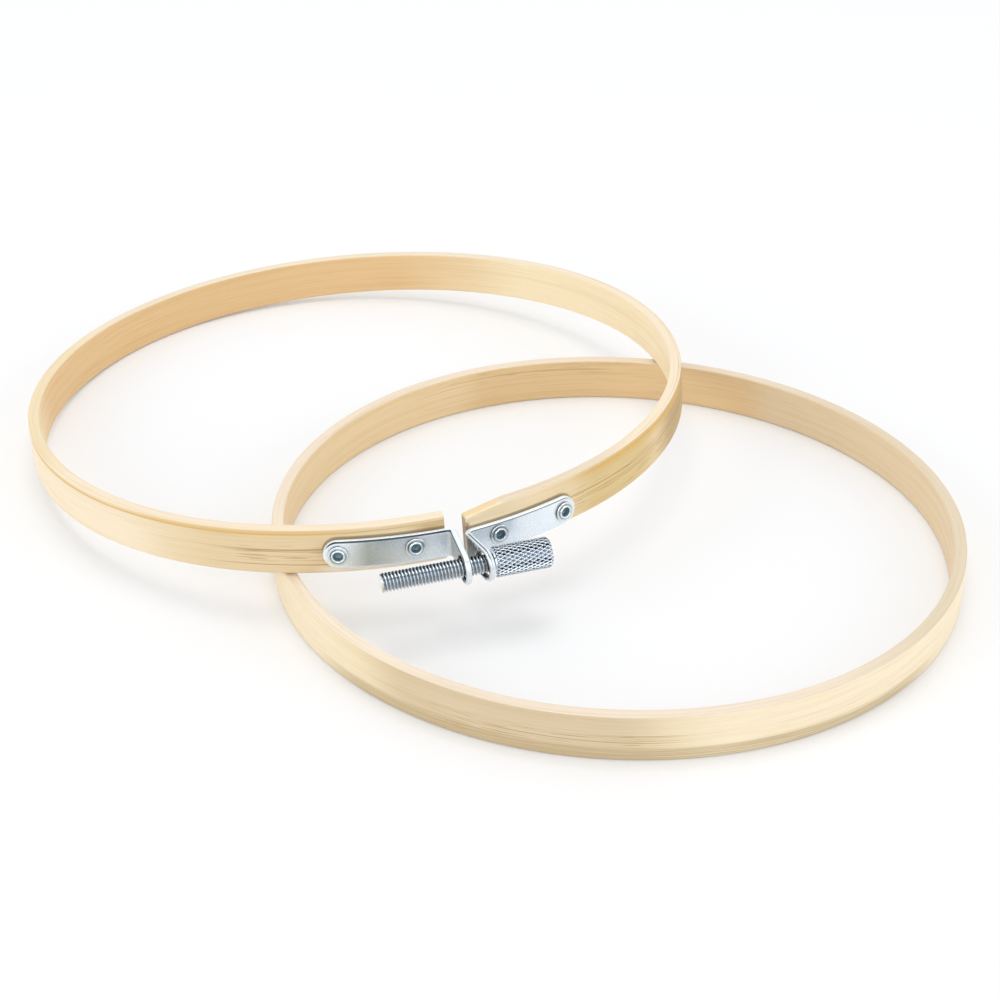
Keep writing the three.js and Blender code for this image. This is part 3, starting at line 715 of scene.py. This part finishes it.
def bracket(name, kind, material):
    path, lengths, outline, holes = bracket_layout(kind)
    along = np.array(lengths)
    ear_start = lengths[-EAR_STEPS - 1]
    points = np.array([[*p] for p, _ in path])
    faces_out = np.array([[*f] for _, f in path])

    def bent(flat, level):
        """Where a flat point at a level through the sheet comes to lie in the scene."""
        spot = np.array([np.interp(flat.x, along, points[:, c]) for c in (0, 1)])
        face = np.array([np.interp(flat.x, along, faces_out[:, c]) for c in (0, 1)])
        face /= np.linalg.norm(face)
        local = spot + face * level
        return OUTER_CENTRE + OUTER_FRAME @ Vector((local[0], local[1], flat.y))

    def painted_shade_at(flat, level):
        """How much painted shade and painted reflection darken the plating: on the ear, more on one face
        than on the other, and in the patch.
        """
        share = clamped((flat.x - ear_start + EAR_FADE_START) / EAR_FADE)
        front, back = kind["ear_front"], kind["ear_back"]
        away = flat.x - PATCH_MIDDLE
        fade = 1 + away / PATCH_BEFORE if away < 0 else 1 - away / PATCH_AFTER
        patch = kind["patch"] * max(0.0, fade)
        return share * (front + (back - front) * (0.5 - level / SHEET)) + patch

    loops = [(outline, False)] + [(hole, True) for hole in holes]
    insets = [inwards(loop, hole) for loop, hole in loops]
    flat, edges, starts = [], [], []
    for (loop, _), normals in zip(loops, insets):
        first = len(flat)
        starts.append(first)
        flat += [p + n * SHEET_FILLET for p, n in zip(loop, normals)]
        edges += [(first + k, first + (k + 1) % len(loop)) for k in range(len(loop))]
    step = 0.55 * MM
    spans = [(min(p[c] for p in outline), max(p[c] for p in outline)) for c in (0, 1)]
    boundary = np.array([[*p] for p in flat])
    for x in np.arange(*spans[0], step):
        for y in np.arange(*spans[1], step):
            if np.min(np.hypot(boundary[:, 0] - x, boundary[:, 1] - y)) > 0.6 * step:
                flat.append(Vector((x, y)))
    made, _, triangles, _, _, _ = delaunay_2d_cdt(flat, edges, [], 0, 1e-9)

    def inside(point, loop):
        crossed = False
        for a, b in zip(loop, loop[1:] + loop[:1]):
            if (a.y > point.y) != (b.y > point.y):
                if point.x < a.x + (b.x - a.x) * (point.y - a.y) / (b.y - a.y):
                    crossed = not crossed
        return crossed

    inner_loops = [flat[first:first + len(loop)] for (loop, _), first in zip(loops, starts)]
    kept = []
    for triangle in triangles:
        middle = (made[triangle[0]] + made[triangle[1]] + made[triangle[2]]) / 3
        if inside(middle, inner_loops[0]) and not any(inside(middle, hole) for hole in inner_loops[1:]):
            kept.append(triangle)
    vertices = [bent(p, SHEET / 2) for p in made] + [bent(p, -SHEET / 2) for p in made]
    painted_shade = [painted_shade_at(p, SHEET / 2) for p in made] + [painted_shade_at(p, -SHEET / 2) for p in made]
    count = len(made)
    faces = [tuple(t) for t in kept] + [tuple(count + k for k in reversed(t)) for t in kept]

    # The rounded rim of each edge, with painted dark lines along its upper edges and painted shade in the
    # ear's eye
    arc = [0.5 * math.pi * k / 4 for k in range(5)]
    rim = [(SHEET_FILLET * (1 - math.sin(a)), SHEET / 2 - SHEET_FILLET * (1 - math.cos(a))) for a in arc]
    rim += [(q, -level) for q, level in reversed(rim)]
    for (loop, _), normals in zip(loops, insets):
        first = len(vertices)
        bore = BORE_SHADE if loop is holes[-1] else 0.0
        for p, n in zip(loop, normals):
            vertices += [bent(p + n * q, level) for q, level in rim]
            painted_shade += [max(bore, RIM_SHARE * painted_shade_at(p, level)) for _, level in rim]
            painted_shade[-len(rim)] = painted_shade[-1] = painted_shade_at(p, SHEET / 2)
            facing_up = max(0.0, -n.y)
            if p.x > ear_start:
                painted_shade[1 - len(rim)] += kind["ear_line"] * facing_up
                painted_shade[-len(rim) // 2] += kind["ear_middle"] * facing_up
            else:
                painted_shade[1 - len(rim)] += kind["plate_line"] * facing_up ** 4
                painted_shade[2 - len(rim)] += kind["plate_second"] * facing_up ** 4
        for face in grid_faces(len(loop), len(rim), wrap_rows=True, wrap_columns=False):
            faces.append(tuple(first + face[k] for k in (0, 3, 2, 1)))
    return new_object(name, vertices, faces, material, grooves_and_painted_shade=painted_shade)


# Rivets
def rivet(name, side, distance, rise, material):
    """A semi-tubular rivet: a low head inside the ring, and a rolled lip on a flange on the bracket."""
    seat = AIR + SHEET
    head = -OUTER_WALL
    profile = [(ON_AXIS, head - RIVET_HEAD_CROWN)]
    for k in range(1, 13):
        share = k / 12
        crown = RIVET_HEAD_CROWN * math.cos(0.5 * math.pi * share ** 2)
        profile.append((RIVET_HEAD_RADIUS * share, head - crown))
    shoulder = head + RIVET_HEAD_THICKNESS
    profile += [(RIVET_HEAD_RADIUS, shoulder), (RIVET_SHANK, shoulder), (RIVET_SHANK, seat)]
    flange, lip = RIM_RADIUS, RIVET_BORE + LIP_WALL
    profile += [(flange - 0.1 * MM, seat + 0.02 * MM), (flange, seat + 0.12 * MM)]
    profile.append((flange, seat + FLANGE_HEIGHT))
    for k in range(1, 6):
        turn = 0.5 * math.pi * k / 5
        radius = flange - FLANGE_FILLET * (1 - math.cos(turn))
        profile.append((radius, seat + FLANGE_HEIGHT + 0.14 * MM * math.sin(turn)))
    profile.append((lip + 0.1 * MM, seat + 0.5 * MM))
    middle, half = (lip + RIVET_BORE) / 2, (lip - RIVET_BORE) / 2
    for k in range(13):
        turn = math.pi * k / 12
        profile.append((middle + half * math.cos(turn), seat + LIP_BASE + LIP_RISE * math.sin(turn)))
    base = seat + RIM_HEIGHT - RIVET_BORE_DEPTH
    profile += [(RIVET_BORE * 0.95, seat + 0.3 * MM), (RIVET_BORE * 0.88, base + 0.2 * MM)]
    profile += [(RIVET_BORE * 0.6, base + 0.03 * MM), (ON_AXIS, base)]
    segments = 48
    vertices, faces = spun(profile, segments)
    angle = side * distance / OUTER_RADIUS
    outwards = OUT * math.cos(angle) + ALONG * math.sin(angle)
    origin = OUTER_CENTRE + outwards * outer_radius(angle) + UP * (BAND_HEIGHT / 2 + rise)
    points = placed(vertices, origin, outwards)
    shaded_side = (UP * 0.6 - ALONG).normalized()  # the side with the most painted shade
    # Painted shade: a dark ring round the flange's foot, darkest in a crescent on one side, and a dark line
    # in the lip's crease. They stand in for shadow and dark reflection
    painted_shade = []
    for k, (radius, height) in enumerate(profile):
        under = radius > flange - 0.12 * MM and height < seat + 0.37 * MM
        crease = lip - 0.03 * MM < radius < lip + 0.12 * MM and height < seat + 0.56 * MM
        for point in points[k * segments:(k + 1) * segments]:
            facing = max(0.0, (point - origin - outwards * height).normalized().dot(shaded_side))
            amount = 0.65 + 1.4 * facing if under else 0.8 + 0.35 * facing
            painted_shade.append(amount if height > seat and (under or crease) else 0.0)
    pin = new_object(name, points, faces, material, 50, painted_shade)
    pin.data.materials.append(bore_zinc)
    for face in pin.data.polygons:
        away = face.center - origin
        height = away.dot(outwards)
        inner = (away - outwards * height).length < RIVET_BORE
        if inner and base - 0.1 * MM < height < seat + 0.5 * MM:
            face.material_index = 1
    return pin


# Thumbscrew
def eye_run(kind):
    """How far along the screw's axis the ear's mid-plane crosses it."""
    lean = math.radians(kind["lean"])
    angle = kind["offset"] / OUTER_RADIUS
    fold = heading(angle) * (outer_radius(angle) + AIR + SHEET / 2)
    normal = Vector((-math.sin(lean), math.cos(lean)))
    screw = Vector((outer_radius(0) + SCREW_STANDOFF, 0))
    axis_local = OUTER_FRAME.transposed() @ SCREW_AXIS
    return (fold - screw).dot(normal) / axis_local.xy.dot(normal)


def head_face():
    """How far along the screw's axis the head's neck starts, just clear of the leaning ear."""
    lean = math.radians(abs(HEAD["lean"]))
    return eye_run(HEAD) + SHEET / 2 / math.cos(lean) + NECK_RADIUS * math.tan(lean) + AIR


ABOUT_SCREW = Vector((0, 0, 1)).rotation_difference(SCREW_AXIS).to_matrix()
ABOVE_SCREW = (UP * 0.86 - OUT * 0.51).normalized()  # up in the front view


def side_height(turn):
    """How high a place round the screw is in the front view: -1 on its lower outline, 1 on its upper."""
    return (ABOUT_SCREW @ Vector((math.cos(turn), math.sin(turn), 0))).dot(ABOVE_SCREW)


def threaded_rod(name, material):
    """A rolled thread whose rows follow the helix, chamfered at its end, with painted shade in its grooves,
    darker along its upper outline and lighter on its lower side.
    """
    start, end = eye_run(NUT) - THREAD_OVERHANG, head_face() + 0.2 * MM
    columns, per_turn = 48, 12
    turns = math.ceil((end - start) / THREAD_PITCH) + 2
    vertices = []
    rows = turns * per_turn + 1

    def radius_at(along, turn):
        phase = ((along - start) / THREAD_PITCH - turn / (2 * math.pi)) % 1.0
        away = abs(phase - 0.5) * 2
        shape = clamped((THREAD_FOOT - away) / THREAD_FLANK)
        shape = shape * shape * (3 - 2 * shape) * 0.35 + shape * 0.65
        worn = THREAD_WEAR * math.sin(3 * turn + along / (0.9 * MM))
        radius = THREAD_RADIUS - THREAD_DEPTH * (1 - shape) - abs(worn)
        return min(radius, THREAD_RADIUS - THREAD_END_CHAMFER + (along - start))

    grooves_and_painted_shade = []
    for j in range(rows):
        for i in range(columns):
            turn = 2 * math.pi * i / columns
            along = start + (j / per_turn + i / columns - 1) * THREAD_PITCH
            along = min(max(along, start), end)
            radius = radius_at(along, turn)
            vertices.append((radius * math.cos(turn), radius * math.sin(turn), along))
            # painted shade: darker along the upper outline, lighter on the lower side, in the front view
            height = side_height(turn)
            above = clamped((height - 0.76) / 0.12)
            below = clamped((-0.1 - height) / 0.4)
            groove_and_painted_shade = (THREAD_RADIUS - radius) / THREAD_DEPTH
            groove_and_painted_shade = groove_and_painted_shade * (1 - LOWER_SIDE_BRIGHT * below) + UPPER_LINE_SHADE * above
            grooves_and_painted_shade.append(groove_and_painted_shade if along > start else CUT_END)
    faces = []
    for j in range(rows):
        for i in range(columns):
            lift = per_turn if i == columns - 1 else 0
            if j + 1 + lift < rows:
                here, there = j * columns + i, (j + lift) * columns + (i + 1) % columns
                faces.append((here, there, there + columns, here + columns))
    piece = new_object(name, placed(vertices, SCREW_ORIGIN, SCREW_AXIS), faces, material, 40, grooves_and_painted_shade)
    cleaned(piece.data, 40, close_ends)
    return piece


def knurled_grip(name, material):
    """A neck, then two crossed sets of ridges with diamond pits between them, and a chamfer at each end. The
    pits carry painted shade, darker above and below than at the front."""
    neck_face = head_face()
    face = neck_face + NECK_LENGTH
    columns, rows = DIAMONDS_ROUND * 10, DIAMONDS_ALONG * 16

    def knurl(along, turn):
        u = DIAMONDS_ROUND * turn / (2 * math.pi)
        v = along / KNURL_LENGTH * DIAMONDS_ALONG
        ridges = [abs((w % 1.0) - 0.5) * 2 for w in (u + v, u - v)]
        height = clamped((max(ridges) - PIT_SHARE) / RIDGE_SHARE)
        return KNURL_RADIUS - KNURL_DEPTH * (1 - height)

    profile = []
    for radius, along in ((SPIGOT_RADIUS, 0), (NECK_RADIUS - 0.12 * MM, 0), (NECK_RADIUS, 0.12 * MM),
                          (NECK_RADIUS, NECK_LENGTH - 0.02 * MM), (NECK_RADIUS + 0.05 * MM, NECK_LENGTH)):
        profile.append([(neck_face + along, radius)] * columns)
    for j in range(rows + 1):
        along = KNURL_LENGTH * j / rows
        end = min(along, KNURL_LENGTH - along)
        cap = KNURL_RADIUS - KNURL_CHAMFER + end
        ring = [(face + along, min(knurl(along, 2 * math.pi * i / columns), cap)) for i in range(columns)]
        profile.append(ring)
    for radius in (KNURL_RADIUS * 0.6, KNURL_RADIUS * 0.3, ON_AXIS):
        profile.append([(face + KNURL_LENGTH, radius)] * columns)
    vertices, grooves_and_painted_shade = [], []
    for ring in profile:
        for i, (along, radius) in enumerate(ring):
            turn = 2 * math.pi * i / columns
            vertices.append((radius * math.cos(turn), radius * math.sin(turn), along))
            knurled = face < along < face + KNURL_LENGTH
            # painted shade in the pits, darker towards the upper and lower outlines in the front view
            height = side_height(turn)
            edge = clamped((abs(height) - 0.28) / 0.35)
            pit_shade = FRONT_PITS + (UPPER_PITS if height > 0 else LOWER_PITS) * edge
            groove_and_painted_shade = (KNURL_RADIUS - knurl(along - face, turn)) / KNURL_DEPTH
            grooves_and_painted_shade.append(groove_and_painted_shade * pit_shade if knurled else 0.0)
    faces = grid_faces(len(profile), columns) + end_faces(len(profile), columns)
    return new_object(name, placed(vertices, SCREW_ORIGIN, SCREW_AXIS), faces, material, 25, grooves_and_painted_shade)


# Materials
OUTER_LENGTH = 2 * math.pi * OUTER_RADIUS - GAP_WIDTH


def plate_spots(kind):
    """The ends of a bracket's plate, as (length, height) on the outer strip."""
    spots = []
    for distance in (abs(kind["offset"]), FIRST_RIVET + RIVET_PITCH):
        fall = math.tan(math.radians(kind["slope"])) * (FIRST_RIVET + RIVET_PITCH - distance)
        along = distance - GAP_WIDTH / 2
        length = along if kind["side"] > 0 else OUTER_LENGTH - along
        spots.append((length, BAND_HEIGHT / 2 + kind["rise"] - fall))
    return tuple(spots)


# Each tone of the wood: where it starts and ends along the strip, how softly, and its colour. Some tones are
# painted shade: the outer ring's dark right outside and the inner ring's darker front-left outside. The tan
# inside walls are partly the wood's tone and partly painted shade.
OUTER_LOOK = dict(
    seed=1.0,
    sparse=0.62,  # fewer fibres as it grows
    pale=(0.87, 0.72, 0.48, 1),
    warm=(0.81, 0.64, 0.39, 1),
    outside=(
        (0.0, 0.012, 0.02, (0.92, 0.77, 0.53)),
        (0.032, 0.048, 0.008, (0.73, 0.57, 0.29)),
        # painted shade: the right outside, which takes less light
        (0.066, 0.12, 0.012, (0.55, 0.4, 0.21)),
        (0.325, 0.395, 0.03, (0.91, 0.78, 0.58)),
        (0.425, 0.48, 0.03, (0.76, 0.6, 0.37)),
        (0.456, 0.48, 0.012, (0.86, 0.73, 0.51)),
    ),
    # the tan far inside wall is partly the wood's tone and partly painted shade
    inside=((0.05, 0.165, 0.02, (0.91, 0.78, 0.54)), (0.205, 0.32, 0.03, (0.76, 0.53, 0.28))),
    edge=(
        (0.0, 0.48, 0.01, (0.83, 0.71, 0.54)),
        (-0.01, 0.034, 0.012, (0.75, 0.64, 0.49)),
        (0.18, 0.28, 0.03, (0.79, 0.69, 0.54)),
        (0.305, 0.36, 0.02, (0.79, 0.66, 0.44)),
    ),
    fibrous=((0.43, 0.445, 2 * MM, 6 * MM), (0.03, 0.07, 2 * MM, 6 * MM)),
    skin=(0.034, 0.9),
    seam=(0.06, 0.15),
    gold=(
        (0.036, 0.07, 8.1 * MM, 0.8),
        (0.075, 0.1, 8.6 * MM, 0.6),
        (0.36, 0.44, 8.85 * MM, 0.7),
        (0.455, 0.48, 7.6 * MM, 0.28),
    ),
    # painted shadow just above each bracket's plate
    plate_shadows=(plate_spots(NUT), plate_spots(HEAD)),
    stains_and_shade=(
        (-0.001, 0.0003, 6.2 * MM, 6.8 * MM, 0.8 * MM, (0.4, 0.2, 0.09)),
        (OUTER_LENGTH - 0.003, OUTER_LENGTH, 7.8 * MM, 8.2 * MM, 6 * MM, (0.42, 0.26, 0.12)),
        (OUTER_LENGTH - 0.022, OUTER_LENGTH, -1 * MM, 1.2 * MM, 6 * MM, (0.94, 0.88, 0.8)),
    ),
)
INNER_LOOK = dict(
    seed=2.0,
    sparse=0.585,
    pale=(0.89, 0.76, 0.55, 1),
    warm=(0.84, 0.7, 0.47, 1),
    outside=(
        (0.13, 0.175, 0.015, (0.89, 0.77, 0.56)),
        # painted shade: the front-left outside
        (0.2, 0.24, 0.015, (0.7, 0.57, 0.38)),
        (0.265, 0.34, 0.02, (0.95, 0.83, 0.62)),
    ),
    inside=(
        # the tan inside walls are partly the wood's tone and partly painted shade
        (-0.01, 0.05, 0.02, (0.75, 0.55, 0.31)),
        (0.065, 0.13, 0.02, (0.83, 0.65, 0.4)),
        (0.32, 0.46, 0.02, (0.76, 0.61, 0.41)),
        (0.435, 0.46, 0.01, (0.75, 0.55, 0.31)),
    ),
    edge=(
        (-0.01, 0.46, 0.01, (0.79, 0.68, 0.55)),
        (0.14, 0.19, 0.02, (0.84, 0.74, 0.6)),
        (0.31, 0.41, 0.03, (0.7, 0.6, 0.45)),
    ),
    fibrous=((0.212, 0.245, 1.5 * MM, 5.5 * MM), (0.02, 0.06, 7 * MM, 9 * MM)),
    skin=(-0.02, 0.06),
    seam=(0.0, 0.46),
    gold=(),
    plate_shadows=(),
    # painted shade along the foot of the front outside, where it meets the floor
    stains_and_shade=((0.19, 0.3, -1 * MM, 2.3 * MM, 20 * MM, (0.55, 0.43, 0.25)),),
)
# Tints that the metal's painted shade steps through
FLANK, ROOT = (0.38, 0.43, 0.49, 1), (0.025, 0.032, 0.045, 1)
outer_wood = bamboo("outer_bamboo", OUTER_LOOK)
inner_wood = bamboo("inner_bamboo", INNER_LOOK)
cut_end = end_grain("bamboo_end_grain")
PAINTED_SHADE_TINTS = dict(mid=(0.0, 0.9), flank=(0.33, 0.37, 0.35, 1), low=(0.9, 1.2), root=ROOT)
plate_zinc = zinc("plate_zinc", 1.0, 0.24, 0.34, 1.03, PAINTED_SHADE_TINTS)
rivet_zinc = zinc("rivet_zinc", 2.0, 0.2, 0.6, 0.92, PAINTED_SHADE_TINTS)
bore_zinc = shaded_bore("bore_zinc")
THREAD = dict(mid=(0.15, 1.0), flank=(0.17, 0.205, 0.235, 1), low=(1.0, 1.5), root=ROOT)
KNURL = dict(mid=(0.0, 0.3), flank=FLANK, low=(0.42, 0.82), root=ROOT)
thread_zinc = zinc("thread_zinc", 3.0, 0.18, 0.85, 0.73, THREAD)
knurl_zinc = zinc("knurl_zinc", 4.0, 0.18, 0.85, 1.0, KNURL)

# Pieces
SEAM_ANGLE = math.radians(75)  # where the inner ring's grain starts and ends, at the back
outer_start = GAP_WIDTH / 2 / OUTER_RADIUS
outer_ring = strip("outer_ring_strip", outer_radius, OUTER_CENTRE, OUTER_FRAME, outer_start, OUTER_LENGTH,
                   False, (outer_wood, cut_end), 1.0)
inner_ring = strip("inner_ring_strip", inner_radius, INNER_CENTRE, INNER_FRAME, SEAM_ANGLE,
                   2 * math.pi * INNER_RADIUS, True, (inner_wood,), 5.0)
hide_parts("inner_ring")
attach(inner_ring, "inner_ring")
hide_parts("outer_ring_nut_side", "outer_ring_head_side")
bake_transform(outer_ring)

for label, kind in (("nut_side", NUT), ("head_side", HEAD)):
    plate = bracket(f"{label}_plate", kind, plate_zinc)
    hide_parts(f"{label}_bracket")
    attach(plate, label)
    for k, place in enumerate(("near", "far")):
        distance = FIRST_RIVET + k * RIVET_PITCH
        pin = rivet(f"{label}_rolled_rivet_{place}", kind["side"], distance, kind["rise"], rivet_zinc)
        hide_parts(f"{label}_rivet_{place}")
        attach(pin, label)

rod = threaded_rod("threaded_rod", thread_zinc)
grip = knurled_grip("knurled_grip", knurl_zinc)
for piece, cad in ((rod, "screw_shank"), (grip, "knurled_head")):
    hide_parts(cad)
    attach(piece, "screw")


# Floor, light and camera
def looked_at(tree):
    """1 for what is seen straight, in a mirror or through glass, and 0 for other light."""
    rays = node(tree, "LightPath").outputs
    seen = math_node(tree, "MAXIMUM", rays["Is Camera Ray"], rays["Is Glossy Ray"])
    return math_node(tree, "MAXIMUM", seen, rays["Is Transmission Ray"])


def floor_material():
    """White paper: nearly white with a light shadow where it is looked at. Other light bounces off it."""
    material, tree = shader("paper")
    seen = looked_at(tree)
    shade = node(tree, "BsdfDiffuse", {"Color": (0.735, 0.742, 0.756, 1)})
    glow = node(tree, "Emission", {"Color": (1, 1, 1, 1), "Strength": 0.135})
    pale = node(tree, "AddShader", {0: shade.outputs[0], 1: glow.outputs[0]})
    bounce = node(tree, "BsdfDiffuse", {"Color": (0.85, 0.85, 0.85, 1)})
    both = node(tree, "MixShader", {0: seen, 1: bounce.outputs[0], 2: pale.outputs[0]})
    output = node(tree, "OutputMaterial")
    tree.links.new(both.outputs[0], output.inputs["Surface"])
    return material


def plane(name, corners, material):
    mesh = bpy.data.meshes.new(name)
    mesh.from_pydata(corners, [], [(0, 1, 2, 3)])
    mesh.materials.append(material)
    board = linked(name, mesh)
    return board


SPREAD = 3.0
floor_corners = [(x * SPREAD, y * SPREAD, 0) for x, y in ((-1, -1), (1, -1), (1, 1), (-1, 1))]
plane("floor", floor_corners, floor_material())

flag_material, flag_tree = shader("studio_flag")
finished(flag_tree, {"Base Color": (0.03, 0.032, 0.036, 1), "Roughness": 1.0})
flag_corners = [(-0.7, -0.5, 0.7), (0.45, -0.5, 0.7), (0.45, -0.24, 0.86), (-0.7, -0.24, 0.86)]
flag = plane("studio_flag", flag_corners, flag_material)
flag.visible_camera = False
flag.visible_diffuse = False


def studio_world():
    """Even light from all round. What looks straight at it sees white."""
    world = bpy.data.worlds.new("studio")
    bpy.context.scene.world = world
    world.use_nodes = True
    tree = world.node_tree
    strength = ranged(tree, looked_at(tree), 0, 1, WORLD_LIGHT, 1.0, smooth=False)
    tree.links.new(strength, tree.nodes["Background"].inputs["Strength"])
    tree.nodes["Background"].inputs["Color"].default_value = (1, 1, 1, 1)


def softbox(name, location, size, power):
    """A square lamp that faces the hoop."""
    data = bpy.data.lights.new(name, "AREA")
    data.size = size
    data.energy = power
    lamp = linked(name, data)
    lamp.location = location
    lamp.rotation_euler = (-Vector(location)).to_track_quat("-Z", "Y").to_euler()
    return lamp


WORLD_LIGHT = 0.85
studio_world()
softbox("overhead", (0, 0.1, 1.6), 0.9, 6.6)
softbox("left_side", (-1.5, -0.9, 0.7), 1.0, 6.5)
softbox("right_side", (1.6, -0.7, 0.7), 1.0, 4.8)
front = softbox("front", (-0.03, -1.0, 0.72), 1.0, 6.5)  # only for highlights
front.visible_diffuse = False

PHOTO_PIXELS = 1000
FOCAL_PIXELS = 2033.2
SENSOR = 36  # millimetres
PITCH = 0.54746
ROLL = -0.00837
CAMERA_OFFSET = Vector((-24.603, -364.139, 234.521)) * MM  # from the inner ring's centre on the floor
tilt = Matrix.Rotation(-PITCH, 3, "X")
forward = tilt @ Vector((0, 1, 0))
roll = Matrix.Rotation(ROLL, 3, forward)
right, above = roll @ Vector((1, 0, 0)), roll @ (tilt @ Vector((0, 0, 1)))
camera_data = bpy.data.cameras.new("camera")
camera_data.sensor_width = SENSOR
camera_data.lens = SENSOR * FOCAL_PIXELS / PHOTO_PIXELS
camera_data.clip_start = 0.01
camera = linked("camera", camera_data)
view = Matrix((right, above, -forward)).transposed().to_4x4()
camera.matrix_world = Matrix.Translation(INNER_CENTRE + CAMERA_OFFSET) @ view
bpy.context.scene.camera = camera
bpy.context.scene.view_settings.view_transform = "Standard"
